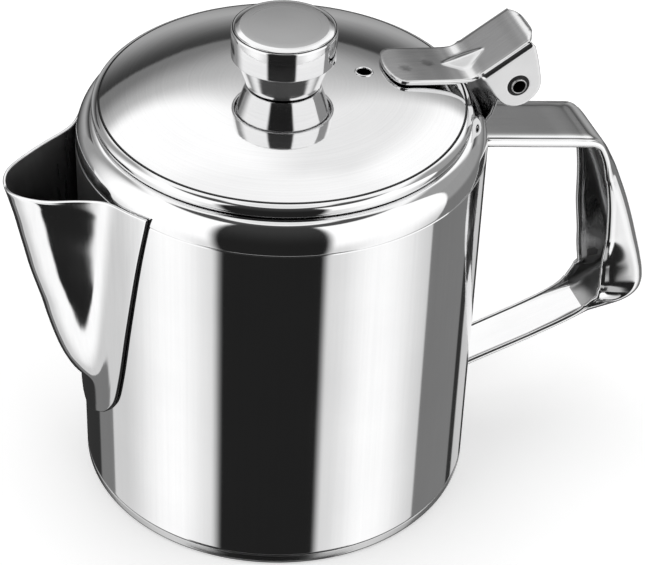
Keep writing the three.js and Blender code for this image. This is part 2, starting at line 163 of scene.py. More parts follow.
def sheet(mid, half, k=4):
    """Closed sheet about a grid of middle points, with round edges. half is half its thickness, a number or a grid.
    The third result tells for each face which side of the sheet it is on and its place in the grid, from 0 to 1."""
    m = np.asarray(mid, float)
    h = np.broadcast_to(np.asarray(half, float), m.shape[:2]).copy()
    du, dv = np.gradient(m, axis=0), np.gradient(m, axis=1)
    n = np.cross(du, dv)
    n /= np.maximum(np.linalg.norm(n, axis=2, keepdims=True), 1e-12)
    c = np.ones(m.shape[:2])
    angles = [math.pi / 2 * (i + 1) / k for i in range(k)]
    for axis in (0, 1):
        m, n, c, h = (np.moveaxis(q, axis, 0) for q in (m, n, c, h))
        t0, t1 = m[0] - m[1], m[-1] - m[-2]
        t0 = t0 / np.maximum(np.linalg.norm(t0, axis=1, keepdims=True), 1e-12)
        t1 = t1 / np.maximum(np.linalg.norm(t1, axis=1, keepdims=True), 1e-12)
        head = [m[0] + t0 * (h[0] * math.sin(a))[:, None] for a in reversed(angles)]
        tail = [m[-1] + t1 * (h[-1] * math.sin(a))[:, None] for a in angles]
        m = np.concatenate([head, m, tail])
        c = np.concatenate([[c[0] * max(math.cos(a), 0.0) for a in reversed(angles)], c, [c[-1] * max(math.cos(a), 0.0) for a in angles]])
        n = np.concatenate([np.repeat(n[:1], k, 0), n, np.repeat(n[-1:], k, 0)])
        h = np.concatenate([np.repeat(h[:1], k, 0), h, np.repeat(h[-1:], k, 0)])
        m, n, c, h = (np.moveaxis(q, 0, axis) for q in (m, n, c, h))
    a, b = m.shape[:2]
    c[0], c[-1], c[:, 0], c[:, -1] = 0, 0, 0, 0
    off = n * (h * c)[..., None]
    top, low = (m + off).reshape(-1, 3), m - off
    ti = np.arange(a * b).reshape(a, b)
    li = ti.copy()
    inner = low[1:-1, 1:-1].reshape(-1, 3)
    li[1:-1, 1:-1] = a * b + np.arange(len(inner)).reshape(a - 2, b - 2)
    verts = np.concatenate([top, inner])
    faces, place = [], []
    for i in range(a - 1):
        for j in range(b - 1):
            faces.append((ti[i, j], ti[i + 1, j], ti[i + 1, j + 1], ti[i, j + 1]))
            faces.append((li[i, j], li[i, j + 1], li[i + 1, j + 1], li[i + 1, j]))
            at = ((i + 0.5 - k) / (a - 1 - 2 * k), (j + 0.5 - k) / (b - 1 - 2 * k))
            place += [(1, *at), (-1, *at)]
    return verts.tolist(), faces, place


def inset(line, d):
    """Closed line of (x, y), counter-clockwise, moved inwards by d."""
    p = np.asarray(line, float)
    a, b = np.roll(p, 1, 0), np.roll(p, -1, 0)
    t = b - a
    t /= np.linalg.norm(t, axis=1, keepdims=True)
    return p + np.stack([-t[:, 1], t[:, 0]], 1) * d


def resample(line, step, loop=True):
    p = np.asarray(line, float)
    if loop:
        p = np.concatenate([p, p[:1]])
    seg = np.linalg.norm(np.diff(p, axis=0), axis=1)
    s = np.concatenate([[0], np.cumsum(seg)])
    k = max(8, int(round(s[-1] / step)))
    q = np.linspace(0, s[-1], k + 1)
    r = np.stack([np.interp(q, s, p[:, 0]), np.interp(q, s, p[:, 1])], 1)
    return r[:-1] if loop else r


def plate(outline, holes, half, edge, pitch):
    """Flat closed plate as (x, y, height): an outline with holes, its edges rounded by edge. Fine enough to be bent later."""
    loops, height = [], []
    steps = [0.0, 0.12, 0.35, 0.65, 1.0]
    rings = [resample(outline, pitch * 0.55)] + [resample(h, pitch * 0.4)[::-1] for h in holes]
    points, edges, depth = [], [], []
    for ring in rings:
        for s in steps:
            q = inset(ring, s * edge)
            k = len(points)
            points.extend(q.tolist())
            depth.extend([s * edge] * len(q))
            edges.extend([(k + i, k + (i + 1) % len(q)) for i in range(len(q))])
    o = np.asarray(rings[0])
    lo, hi = o.min(0), o.max(0)

    def inside(p, poly):
        x, y = poly[:, 0], poly[:, 1]
        x2, y2 = np.roll(x, -1), np.roll(y, -1)
        hit = ((y > p[1]) != (y2 > p[1])) & (p[0] < (x2 - x) * (p[1] - y) / (y2 - y + 1e-30) + x)
        return bool(hit.sum() % 2)

    core = [inset(r, edge + pitch * 0.45) for r in rings]
    row = 0
    yy = lo[1]
    while yy <= hi[1]:
        xx = lo[0] + (pitch / 2 if row % 2 else 0)
        while xx <= hi[0]:
            p = (xx, yy)
            if inside(p, core[0]) and not any(inside(p, c) for c in core[1:]):
                points.append([xx, yy])
                depth.append(edge)
            xx += pitch
        yy += pitch * 0.866
        row += 1
    vs, _, fs, origin, _, _ = delaunay_2d_cdt([Vector(p) for p in points], edges, [], 0, 1e-7)
    vs = np.array([[v.x, v.y] for v in vs])
    dep = np.array([depth[o[0]] if o else edge for o in origin])
    tri = []
    for f in fs:
        c = vs[list(f)].mean(0)
        if inside(c, np.asarray(rings[0])) and not any(inside(c, np.asarray(r)) for r in rings[1:]):
            tri.append(tuple(f))
    lift = half - edge + np.sqrt(np.maximum(edge**2 - (edge - np.minimum(dep, edge)) ** 2, 0))
    n = len(vs)
    verts = [(x, y, z) for (x, y), z in zip(vs, lift)] + [(x, y, -z) for (x, y), z in zip(vs, lift)]
    faces = list(tri) + [tuple(n + i for i in reversed(t)) for t in tri]
    count = {}
    for t in tri:
        for a, b in ((t[0], t[1]), (t[1], t[2]), (t[2], t[0])):
            count[(a, b)] = 1
    for a, b in list(count):
        if (b, a) not in count:
            faces.append((b, a, n + a, n + b))
    used = sorted({i for f in faces for i in f})
    new = {o: i for i, o in enumerate(used)}
    return [verts[i] for i in used], [tuple(new[i] for i in f) for f in faces]


def boolean_cut(ob, cutter):
    """Cuts one closed mesh out of another and keeps only the result."""
    mod = ob.modifiers.new("cut", "BOOLEAN")
    mod.operation, mod.solver, mod.object = "DIFFERENCE", "EXACT", cutter
    dg = bpy.context.evaluated_depsgraph_get()
    me = bpy.data.meshes.new_from_object(ob.evaluated_get(dg))
    ob.modifiers.clear()
    old = ob.data
    ob.data = me
    bpy.data.meshes.remove(old)
    old = cutter.data
    bpy.data.objects.remove(cutter)
    bpy.data.meshes.remove(old)
    me.shade_smooth()
    me.set_sharp_from_angle(angle=rad(32))
    return ob


# ------------------------------------------------------------------ materials
def nodes_of(mat):
    mat.use_nodes = True
    tree = mat.node_tree
    tree.nodes.clear()
    out = tree.nodes.new("ShaderNodeOutputMaterial")
    bsdf = tree.nodes.new("ShaderNodeBsdfPrincipled")
    tree.links.new(bsdf.outputs["BSDF"], out.inputs["Surface"])
    return tree, bsdf


def steel(name, tone, rough, spread, grain, grain_bump, wave=0.0, mottle=0.25, spun=False, streak=0.02, spots=()):
    """Stainless steel: polish lines drawn out along one direction, faint cloudy wear and fine pits, all from noise."""
    mat = bpy.data.materials.new(name)
    tree, bsdf = nodes_of(mat)
    new, link = tree.nodes.new, tree.links.new
    coord = new("ShaderNodeTexCoord")

    def noise(vector, scale, detail, roughness=0.55):
        n = new("ShaderNodeTexNoise")
        n.inputs["Scale"].default_value = scale
        n.inputs["Detail"].default_value = detail
        n.inputs["Roughness"].default_value = roughness
        link(vector, n.inputs["Vector"])
        return n.outputs["Fac"]

    def span(value, a, b, lo, hi):
        m = new("ShaderNodeMapRange")
        m.inputs["From Min"].default_value, m.inputs["From Max"].default_value = a, b
        m.inputs["To Min"].default_value, m.inputs["To Max"].default_value = lo, hi
        link(value, m.inputs["Value"])
        return m.outputs["Result"]

    def math_node(op, a, b):
        m = new("ShaderNodeMath")
        m.operation = op
        for i, x in enumerate((a, b)):
            if isinstance(x, (int, float)):
                m.inputs[i].default_value = x
            else:
                link(x, m.inputs[i])
        return m.outputs["Value"]

    obj = coord.outputs["Object"]
    if spun:
        # rings round the axis: radius and height stand in for position
        sep = new("ShaderNodeSeparateXYZ")
        link(obj, sep.inputs["Vector"])
        xx = math_node("MULTIPLY", sep.outputs["X"], sep.outputs["X"])
        yy = math_node("MULTIPLY", sep.outputs["Y"], sep.outputs["Y"])
        r = math_node("SQRT", math_node("ADD", xx, yy), 0.0)
        comb = new("ShaderNodeCombineXYZ")
        link(math_node("MULTIPLY", r, grain[0]), comb.inputs["X"])
        link(math_node("MULTIPLY", sep.outputs["Z"], grain[2]), comb.inputs["Z"])
        lines_at = comb.outputs["Vector"]
    else:
        mp = new("ShaderNodeMapping")
        mp.inputs["Scale"].default_value = grain
        link(obj, mp.inputs["Vector"])
        lines_at = mp.outputs["Vector"]
    lines = noise(lines_at, 1.0, 4.0, 0.6)
    cloud = noise(obj, 38.0, 5.0)
    pits = noise(obj, 2600.0, 2.0)

    # tone: nearly even, with polish lines and clouds
    v = math_node("ADD", span(lines, 0.25, 0.75, -streak, streak), span(cloud, 0.3, 0.7, -mottle * 0.06, mottle * 0.06))
    ramp = new("ShaderNodeMix")
    ramp.data_type = "RGBA"
    link(span(v, -0.035, 0.035, 0.0, 1.0), ramp.inputs["Factor"])
    ramp.inputs["A"].default_value = (tone * 0.93, tone * 0.93, tone * 0.935, 1)
    ramp.inputs["B"].default_value = (min(1, tone * 1.05), min(1, tone * 1.05), min(1, tone * 1.052), 1)
    colour = ramp.outputs["Result"]
    shade = None
    for sx, sy, size in spots:
        # round smudge left by a spot weld
        at = new("ShaderNodeVectorMath")
        at.operation = "MULTIPLY_ADD"
        link(obj, at.inputs[0])
        at.inputs[1].default_value = (1 / (size * MM), 1 / (size * MM), 0.0)
        at.inputs[2].default_value = (-sx / size, -sy / size, 0.0)
        far = new("ShaderNodeVectorMath")
        far.operation = "LENGTH"
        link(at.outputs["Vector"], far.inputs[0])
        edge = math_node("ADD", far.outputs["Value"], span(noise(obj, 900.0, 2.0), 0.3, 0.7, -0.25, 0.25))
        m = span(edge, 0.45, 1.15, 1.0, 0.0)
        shade = m if shade is None else math_node("MAXIMUM", shade, m)
    if shade is not None:
        dark = new("ShaderNodeMix")
        dark.data_type = "RGBA"
        link(math_node("MULTIPLY", shade, 0.55), dark.inputs["Factor"])
        link(colour, dark.inputs["A"])
        dark.inputs["B"].default_value = (tone * 0.3, tone * 0.3, tone * 0.3, 1)
        colour = dark.outputs["Result"]
    link(colour, bsdf.inputs["Base Color"])

    # roughness: lines, clouds and fine pits
    rr = math_node("ADD", span(lines, 0.2, 0.8, rough - spread, rough + spread), span(cloud, 0.3, 0.7, -spread * 0.6, spread * 0.6))
    rr = math_node("ADD", rr, span(pits, 0.62, 0.85, 0.0, 0.05))
    rr = math_node("MAXIMUM", rr, 0.02)
    link(rr, bsdf.inputs["Roughness"])
    bsdf.inputs["Metallic"].default_value = 1.0

    # relief: polish lines over a slight unevenness of the sheet
    b1 = new("ShaderNodeBump")
    b1.inputs["Strength"].default_value = grain_bump
    b1.inputs["Distance"].default_value = 0.00004
    link(lines, b1.inputs["Height"])
    if wave > 0:
        b2 = new("ShaderNodeBump")
        b2.inputs["Strength"].default_value = wave
        b2.inputs["Distance"].default_value = 0.0004
        link(noise(obj, 55.0, 1.0), b2.inputs["Height"])
        link(b2.outputs["Normal"], b1.inputs["Normal"])
    link(b1.outputs["Normal"], bsdf.inputs["Normal"])
    return mat


M_BODY = steel("polished_wall", 0.80, 0.05, 0.012, (900.0, 900.0, 12.0), 0.035, wave=0.02, streak=0.012)
M_BASE = steel("polished_base", 0.52, 0.20, 0.04, (60.0, 60.0, 2500.0), 0.14, wave=0.03, mottle=0.6)
M_SPOUT = steel("polished_spout", 0.80, 0.055, 0.02, (700.0, 700.0, 30.0), 0.10, wave=0.04)
# duller inside finish whose darker tone is painted shade inside the spout
M_SPOUT_INSIDE_SHADE = steel("spout_inside_painted_shade", 0.50, 0.32, 0.06, (600.0, 600.0, 40.0), 0.2, wave=0.06, mottle=0.6)
# near black steel: painted shade in fine turned grooves and along the spout's gap to the wall
M_PAINTED_SHADE = steel("painted_shade_line", 0.07, 0.5, 0.1, (500.0, 500.0, 90.0), 0.3, wave=0.2, mottle=0.8)
M_STRAP = steel("polished_strap", 0.78, 0.085, 0.02, (40.0, 900.0, 60.0), 0.005, wave=0.015, streak=0.012)
# duller inside finish whose darker tone is painted shade in the hollow of the grip
M_STRAP_INSIDE_SHADE = steel("strap_inside_painted_shade", 0.36, 0.28, 0.04, (40.0, 900.0, 60.0), 0.06, mottle=0.5)
M_LID = steel("polished_lid", 0.80, 0.05, 0.015, (1800.0, 0.0, 300.0), 0.06, wave=0.015, spun=True)
M_RING = steel("spun_inside", 0.70, 0.24, 0.05, (1500.0, 0.0, 1500.0), 0.25, spun=True)
M_LEVER = steel("pressed_lever", 0.70, 0.11, 0.03, (120.0, 1500.0, 200.0), 0.12, wave=0.08, mottle=0.5, spots=((31.8, -1.6, 1.7), (38.6, 0.6, 1.7)))
# dark tone painted on the hinge bracket as shade under the lever
M_BRACKET_SHADE = steel("hinge_steel", 0.30, 0.20, 0.04, (300.0, 500.0, 60.0), 0.04, wave=0.02, mottle=0.5)
M_PIN = steel("rivet_steel", 0.58, 0.28, 0.06, (900.0, 90.0, 900.0), 0.25, mottle=0.6)
# near black steel: painted shade in the rivet's bore and painted shadow round its tube
M_PIN_SHADE = steel("rivet_painted_shade", 0.05, 0.55, 0.1, (900.0, 90.0, 900.0), 0.25, mottle=0.6)
M_NECK = steel("turned_neck", 0.78, 0.07, 0.02, (2200.0, 0.0, 1500.0), 0.12, spun=True)
M_CAP = steel("turned_cap", 0.78, 0.06, 0.02, (2600.0, 0.0, 1500.0), 0.12, spun=True)
M_CAP_TOP = steel("turned_cap_top", 0.50, 0.32, 0.05, (2600.0, 0.0, 1500.0), 0.25, spun=True)
M_WELD = steel("weld_bead", 0.55, 0.30, 0.08, (500.0, 500.0, 500.0), 0.3, wave=0.3, mottle=0.8)


def finish_piece(ob, body, node, mat):
    ob.data.materials.clear()
    ob.data.materials.append(mat)
    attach(ob, body)
    if node:
        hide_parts(node)
    return ob


def paint(ob, mat, faces):
    """Gives some faces of a piece a second finish."""
    ob.data.materials.append(mat)
    index = len(ob.data.materials) - 1
    for i in faces:
        ob.data.polygons[i].material_index = index


# ------------------------------------------------------------------ body and base
BODY_R, LEDGE_R, SHOULDER_Z, LEDGE_Z = 52.5, 47.5, 101.5, 109.1
outer = arc(LEDGE_R, SHOULDER_Z, 5.0, 7.6, 0, 90, 28)
inner = arc(LEDGE_R, SHOULDER_Z, 4.0, 6.6, 90, 0, 20)
crease = [(52.5, 101.0), (52.5, 101.2), (52.42, 101.32), (52.38, 101.42), (52.42, 101.52), (52.495, 101.66)]
profile = rounded([(52.5, 3.6, 0.25)] + [(52.5, z) for z in (4.2, 4.8, 6, 12, 30, 50, 70, 84, 90, 98)] + crease + outer[1:]
                  + [(44.5, 109.1, 1.3), (44.5, 106.2, 0.45), (45.5, 106.2, 0.45), (45.5, 108.1, 0.5)] + inner + [(51.5, 50), (51.5, 4.4), (51.5, 3.6, 0.25)])
body = add_mesh("body_shell_wall", *lathe(profile, 256), sharp=40)

slot_line = []
for a in range(0, 181, 9):
    slot_line.append((7 * math.cos(rad(a)), 81 + 7 * math.sin(rad(a))))
for a in range(180, 361, 9):
    slot_line.append((7 * math.cos(rad(a)), 59 + 7 * math.sin(rad(a))))
k = len(slot_line)
cut_v = [(-60.0, y, z) for y, z in slot_line] + [(-44.0, y, z) for y, z in slot_line]
cut_f = [tuple(range(k)), tuple(range(2 * k - 1, k - 1, -1))] + [(i, k + i, k + (i + 1) % k, (i + 1) % k) for i in range(k)]
boolean_cut(body, add_mesh("slot_cutter", cut_v, cut_f))
finish_piece(body, "jug", "body_shell", M_BODY)
# the wall behind the spout's mouth gets the spout's duller inside finish, its darker tone painted shade
paint(body, M_SPOUT_INSIDE_SHADE, [i for i, q in enumerate(body.data.polygons) if abs(math.atan2(q.center.y, -q.center.x)) < rad(30.5) and 0.085 < q.center.z < 0.1022])

profile = rounded([(0, 1.9), (30, 1.9), (48.6, 1.9, 2.6), (50.2, 5.0, 1.2), (50.2, 9.4, 0.35), (51.2, 9.4, 0.35), (51.2, 3.3, 0.2), (52.5, 3.3, 0.3),
                   (52.5, 0.0, 2.0), (48.4, 0.0, 0.5), (46.8, 0.8, 0.8), (30, 0.8), (0, 0.8)], loop=False)
base = add_mesh("base_pan_dish", *lathe(profile, 256), sharp=40)
finish_piece(base, "jug", "base_pan", M_BASE)

# ------------------------------------------------------------------ spout
keel = curve([(24, 53.85), (33, 53.95), (35.6, 54.8), (39, 57.3), (42, 58.8), (45, 60), (50.7, 61.7), (56.4, 63.1), (61.9, 64.3), (67.3, 65.7),
              (72.7, 67), (78, 68), (83.2, 69), (88.3, 69.95), (93.4, 71.1), (96.1, 71.75), (98.5, 72.4), (106, 73.4)])
weld_edge = curve([(24.8, 4), (26, 6.5), (28.7, 11), (31.5, 15.2), (34.8, 18.4), (39, 21.2), (46.4, 23.5), (65.7, 27.6), (89.5, 32.7), (104.2, 36.3), (106, 36.7)])
leave = curve([(24.8, 0.22), (33, 0.3), (36, 0.4), (39, 0.5), (45, 0.6), (55, 0.65), (80, 0.67), (106, 0.67)])
side = curve([(0, 1), (0.05, 0.915), (0.12, 0.848), (0.3, 0.733), (0.62, 0.541), (0.784, 0.41), (0.896, 0.295), (0.97, 0.16), (1, 0)])
rim_z = curve([(0, 97.3), (0.1, 98), (0.38, 99), (0.66, 100.6), (0.88, 101.7), (1, 102.3)])
SPOUT_IN, SPOUT_T = 52.7, 0.8


def spout_line(z, us):
    """Middle line of the spout's sheet at one height, from one weld edge round the nose to the other."""
    r = SPOUT_IN + SPOUT_T / 2
    e, f = float(weld_edge(z)), float(leave(z))
    d = f * e
    xd, yd = r * math.cos(rad(d)), r * math.sin(rad(d))
    kx = max(float(keel(z)) - SPOUT_T / 2, r)
    m, s = np.abs(us), np.sign(us)
    q = 1 - m / f
    t = np.where(q < 0.75, q / 0.75 * 0.8, 0.8 + 0.2 * np.sin(np.clip((q - 0.75) / 0.25, 0, 1) * math.pi / 2))
    a = np.radians(m * e)
    flange = m >= f
    x = np.where(flange, r * np.cos(a), xd + (kx - xd) * t)
    y = np.where(flange, r * np.sin(a), yd * side(np.clip(t, 0, 1)))
    p = np.stack([-x, s * y], 1)
    # even spacing, then one smoothing of fixed width in millimetres
    g = np.concatenate([[0], np.cumsum(np.linalg.norm(np.diff(p, axis=0), axis=1))])
    width = 1.9
    out = np.empty_like(p)
    for i in range(len(p)):
        w = np.exp(-0.5 * ((g - g[i]) / min(width, max(0.05, min(g[i], g[-1] - g[i]) * 0.7))) ** 2)
        w *= np.gradient(g)
        out[i] = (p * w[:, None]).sum(0) / w.sum()
    return out


NU, NV = 144, 120
us = np.linspace(-1, 1, NU + 1)
levels = np.linspace(24.9, 104.4, 220)
lines = np.array([spout_line(z, us) for z in levels])
mid = np.zeros((NU + 1, NV + 1, 3))
for i, u in enumerate(us):
    m = abs(u)
    top = 102.3 + (m - 0.67) / 0.33 * 1.3 if m >= 0.67 else float(rim_z(m / 0.67))
    if u > 0:
        top -= 2.4 * float(smoothstep(m, 0.08, 0.88))      # the far flange ends a little lower
    z = 24.9 + (top - 24.9) * np.power(np.linspace(0, 1, NV + 1), 0.9)
    mid[i, :, 0] = np.interp(z, levels, lines[:, i, 0])
    mid[i, :, 1] = np.interp(z, levels, lines[:, i, 1])
    mid[i, :, 2] = z
v, f, place = sheet(mid, SPOUT_T / 2)
spout = add_mesh("spout_trough", v, f, sharp=50)
finish_piece(spout, "jug", "spout", M_SPOUT)
# the inside is left duller, its darker tone painted shade, and the cut edge along the wall is painted near black as the
# shade of the gap to the wall
facing = [q.normal.x * q.center.x + q.normal.y * q.center.y for q in spout.data.polygons]
paint(spout, M_SPOUT_INSIDE_SHADE, [i for i, q in enumerate(place) if facing[i] < 0 and 0 < q[2] < 1])
paint(spout, M_PAINTED_SHADE, [i for i, q in enumerate(place) if not 0.0 < q[1] < 1.0])

# ------------------------------------------------------------------ handle
stations = [
    ((47.0, 98.4), (46.7, 96.5), 10.6), ((57.5, 96.7), (57.2, 94.8), 10.6), ((65, 95.45), (64.7, 93.5), 10.6), ((73, 94.1), (72.7, 92.15), 10.6),
    ((80.5, 92.85), (80.1, 90.9), 10.7), ((83.8, 92.15), (83.0, 90.3), 10.8), ((86.1, 90.9), (84.4, 89.4), 10.95), ((87.7, 88.9), (85.3, 87.8), 11.1),
    ((89.2, 86.2), (86.3, 85.2), 11.25), ((91.1, 82.4), (87.2, 81.2), 11.4), ((93.1, 77.6), (88.15, 76.2), 11.5), ((95.4, 71.8), (89.0, 70.3), 11.55),
    ((97.9, 64.6), (89.6, 63.0), 11.55), ((100.2, 57.2), (90.0, 55.6), 11.5), ((102.2, 50.4), (90.4, 49.2), 11.4), ((103.5, 45.2), (90.7, 44.4), 11.2),
    ((103.9, 42.0), (90.95, 41.9), 10.95), ((103.6, 39.2), (91.1, 40.3), 10.5), ((102.3, 36.8), (91.0, 39.0), 9.9), ((100.1, 34.8), (90.6, 37.9), 9.2),
    ((96.9, 33.2), (89.8, 36.8), 8.5), ((92.6, 31.75), (88.0, 35.2), 7.9), ((86.5, 29.8), (85.1, 32.9), 7.45), ((79, 27.4), (78.15, 29.9), 7.25),
    ((68.5, 23.95), (67.85, 25.95), 7.15), ((58.5, 20.65), (57.9, 22.55), 7.05), ((47.0, 16.85), (46.4, 18.75), 7.0),
]
STRAP_T = 1.1
length = np.concatenate([[0], np.cumsum([math.dist(a[0], b[0]) for a, b in zip(stations, stations[1:])])])
along = curve([(s, *o, *e, w) for s, (o, e, w) in zip(length, stations)], monotone=False)


def strap_line(hw, depth, hem, count):
    """Middle line of half the strap's section as (y, depth) and half its thickness, from the middle to the rolled edge."""
    t = STRAP_T
    dc = depth - hem
    a, b = 3.05, max(0.08, min(3.6, dc) - t / 2)
    wall = hw - t / 2 - (hem - t / 2) * (1 - float(smoothstep(dc, 1.5, 5.0)))
    # flat web, round corner and side wall, each with its own share of the points, so that rows along the strap line up
    web, turn_n = 9, 15
    p = [(y, t / 2) for y in np.linspace(0.0, wall - a, web)[:-1]]
    p += [(wall - a + a * math.sin(rad(q)), t / 2 + b * (1 - math.cos(rad(q)))) for q in np.linspace(0, 90, turn_n)]
    d0 = p[-1][1]
    dc = max(dc, d0 + 0.3)
    for d in np.linspace(d0, dc, count - len(p) + 1)[1:]:
        p.append((wall + (hw - hem - wall) * float(smoothstep(d, dc - 1.6, dc)), d))
    p = np.array(p)
    for _ in range(3):
        p[1:-1] = 0.25 * p[:-2] + 0.5 * p[1:-1] + 0.25 * p[2:]
    # deep side walls lean in towards their rolled edge
    p[:, 0] -= 2.1 * float(smoothstep(depth, 9.2, 12.2)) * np.clip((p[:, 1] - 1.8) / max(depth - 1.8, 1.0), 0, 1) ** 1.2
    g = np.concatenate([[0], np.cumsum(np.linalg.norm(np.diff(p, axis=0), axis=1))])
    h = t / 2 + (hem - t / 2) * smoothstep(g[-1] - g, 1.7, 0.3)
    return p, h


NS, NW = 420, 34
grid = np.zeros((NS + 1, 2 * NW - 1, 3))
half = np.zeros((NS + 1, 2 * NW - 1))
for i, s in enumerate(np.linspace(0, length[-1], NS + 1)):
    ox, oz, ex, ez, hw = along(np.array([s]))[0]
    depth = math.hypot(ex - ox, ez - oz)
    dx, dz = (ex - ox) / depth, (ez - oz) / depth
    depth = max(1.3, depth * (1 - 0.42 * float(smoothstep(s, length[20], length[23]))))     # the lower arm is nearly flat
    hem = 0.85 - 0.25 * float(smoothstep(s, length[17], length[21]))
    p, h = strap_line(hw, depth, hem, NW)
    y = np.concatenate([-p[::-1, 0], p[1:, 0]])
    d = np.concatenate([p[::-1, 1], p[1:, 1]])
    grid[i] = np.stack([ox + dx * d, y, oz + dz * d], 1)
    half[i] = np.concatenate([h[::-1], h[1:]])
# both ends stop at the round of the body
keep = np.hypot(grid[:, :, 0], grid[:, :, 1]) > BODY_R + 0.95
rows = np.where(keep.all(1))[0]
lo, hi = rows.min(), rows.max()
for edge, step in ((lo, -1), (hi, 1)):
    a, b = grid[edge], grid[edge + step]
    for j in range(grid.shape[1]):
        r0, r1 = math.hypot(*a[j, :2]), math.hypot(*b[j, :2])
        q = (BODY_R + 0.95 - r0) / (r1 - r0)
        b[j] = a[j] + (b[j] - a[j]) * q
grid, half = grid[lo - 1:hi + 2], half[lo - 1:hi + 2]
v, f, place = sheet(grid, half)
handle = add_mesh("handle_strap", v, f, sharp=50)
finish_piece(handle, "jug", "handle", M_STRAP)
# the inside of the grip is left dull, and its darker tone is painted shade in the hollow of the strap
facing = [q.normal.x * (q.center.x - 0.0760) + q.normal.z * (q.center.z - 0.0620) for q in handle.data.polygons]
inner_side = 1 if sum(f for f, q in zip(facing, place) if q[0] == 1 and 0.3 < q[2] < 0.7) < 0 else -1
paint(handle, M_STRAP_INSIDE_SHADE, [i for i, q in enumerate(place) if q[0] == inner_side and facing[i] < 0 and 0.04 < q[2] < 0.96 and handle.data.polygons[i].center.x > 0.081 and (handle.data.polygons[i].center.z > 0.0385 or handle.data.polygons[i].center.x > 0.0885)])


# ------------------------------------------------------------------ lid and knob
def dome(r):
    return 117.2 - 4.6 * (r / 46.5) ** 3.6


top = [(r, dome(r)) for r in (2.4, 4, 7, 10, 14, 18, 21, 24, 27, 30, 32, 34, 36, 38, 39.5, 41, 42.2, 43.0, 43.6, 44.1, 44.6, 45.0, 45.4, 45.75, 46.05, 46.28)]
under = [(r, dome(r) - 1.0) for r in (45.0, 44.3, 43.5, 42, 40, 38, 35, 32, 28, 24, 20, 14, 10, 7, 4, 2.4)]
# a fine turned line, then the rim turns out and down and ends in a rolled edge
line = [(46.36, 112.62), (46.4, 112.3), (46.53, 112.28), (46.58, 112.56), (46.66, 112.6), (47.0, 112.48), (47.4, 112.28), (47.8, 112.03), (48.06, 111.78), (48.22, 111.5),
        (48.3, 111.1), (48.32, 110.6), (48.3, 110.15), (48.17, 109.76), (47.88, 109.52), (47.4, 109.45), (46.8, 109.5), (46.2, 109.75), (45.75, 110.3), (45.55, 111.0), (45.35, 111.8)]
profile = top + line + under
lid = add_mesh("lid_dome_shell", *lathe(profile, 256), sharp=45)
# vent hole with a small rolled edge
slope = math.atan(3.6 * 4.6 / 46.5 * (21.3 / 46.5) ** 2.6)


def on_lid(points):
    v = np.array(points)
    return np.stack([21.3 + v[:, 0] * math.cos(slope) + v[:, 2] * math.sin(slope), v[:, 1], dome(21.3) - v[:, 0] * math.sin(slope) + v[:, 2] * math.cos(slope)], 1).tolist()


v, f = lathe([(0, -8.0), (1.85, -8.0), (1.85, 8.0), (0, 8.0)], 48)
boolean_cut(lid, add_mesh("vent_cutter", on_lid(v), f))
v, f = lathe(arc(2.13, -0.1, 0.36, 0.34, 0, 337.5, 15), 64)
vent = add_mesh("lid_vent_edge", on_lid(v), f)
vent.data.materials.append(M_LID)
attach(vent, "lid")
finish_piece(lid, "lid", "lid_dome", M_LID)
# the fine turned line is painted near black: painted shade in the groove
paint(lid, M_PAINTED_SHADE, [i for i, q in enumerate(lid.data.polygons) if 0.0461 < math.hypot(q.center.x, q.center.y) < 0.04663 and q.center.z > 0.112])


def below(r):
    return dome(r) - 1.33


profile = rounded([(42.8, 105.0, 0.35), (43.6, 105.0, 0.35), (43.6, below(43.6), 0.6), (41.5, below(41.5)), (39.5, below(39.5), 0.3),
                   (39.5, below(39.5) - 0.8, 0.3), (41.5, below(41.5) - 0.8), (42.8, below(42.8) - 0.8, 0.5)])
ring = add_mesh("lid_ring_inner", *lathe(profile, 192), sharp=45)
finish_piece(ring, "lid", "lid_locating_ring", M_RING)

neck_side = [(9.5, 117.55), (9.58, 117.65), (9.6, 117.8), (9.7, 118.4)] + [(9.7 + 2.35 * t, 118.4 + 6.6 * t) for t in (0.08, 0.2, 0.35, 0.5, 0.65, 0.8, 0.92, 1.0)] + [(12.16, 125.25), (12.2, 125.45), (12.2, 125.8)]
profile = rounded([(2.5, dome(2.5) + 0.3), (9.3, dome(9.3) + 0.3, 0.2)] + neck_side + [(2.5, 125.9, 0.2)])
neck = add_mesh("knob_neck_waist", *lathe(profile, 160), sharp=45)
finish_piece(neck, "lid", "knob_neck", M_NECK)

# flat top, a narrow slope, a fine turned line and the straight side
edge = [(13.3, 132.6), (13.26, 132.85), (13.15, 133.05), (13.02, 133.17), (12.96, 133.18), (12.92, 132.88), (12.8, 132.88), (12.76, 133.3), (12.7, 133.38),
        (12.2, 133.53), (11.8, 133.65), (11.45, 133.74), (11.15, 133.79), (10.7, 133.83)]
profile = rounded([(0, 131.0), (2.3, 130.6, 0.3), (2.3, 126.2, 0.2), (12.5, 126.2, 0.15), (12.55, 125.2, 0.3), (13.3, 125.2, 0.4), (13.3, 128.5)] + edge
                  + [(9.0, 133.87), (6, 133.93), (3, 133.98), (0, 134.0)], loop=False, step=6)
cap = add_mesh("knob_cap_turned", *lathe(profile, 160), sharp=45)
finish_piece(cap, "lid", "knob_cap", M_CAP)
paint(cap, M_CAP_TOP, [i for i, q in enumerate(cap.data.polygons) if q.center.z > 0.1335 and math.hypot(q.center.x, q.center.y) < 0.01125])
# the fine turned line on the cap's edge is painted near black: painted shade in the groove
paint(cap, M_PAINTED_SHADE, [i for i, q in enumerate(cap.data.polygons) if 0.01275 < math.hypot(q.center.x, q.center.y) < 0.01299 and q.center.z > 0.1327])

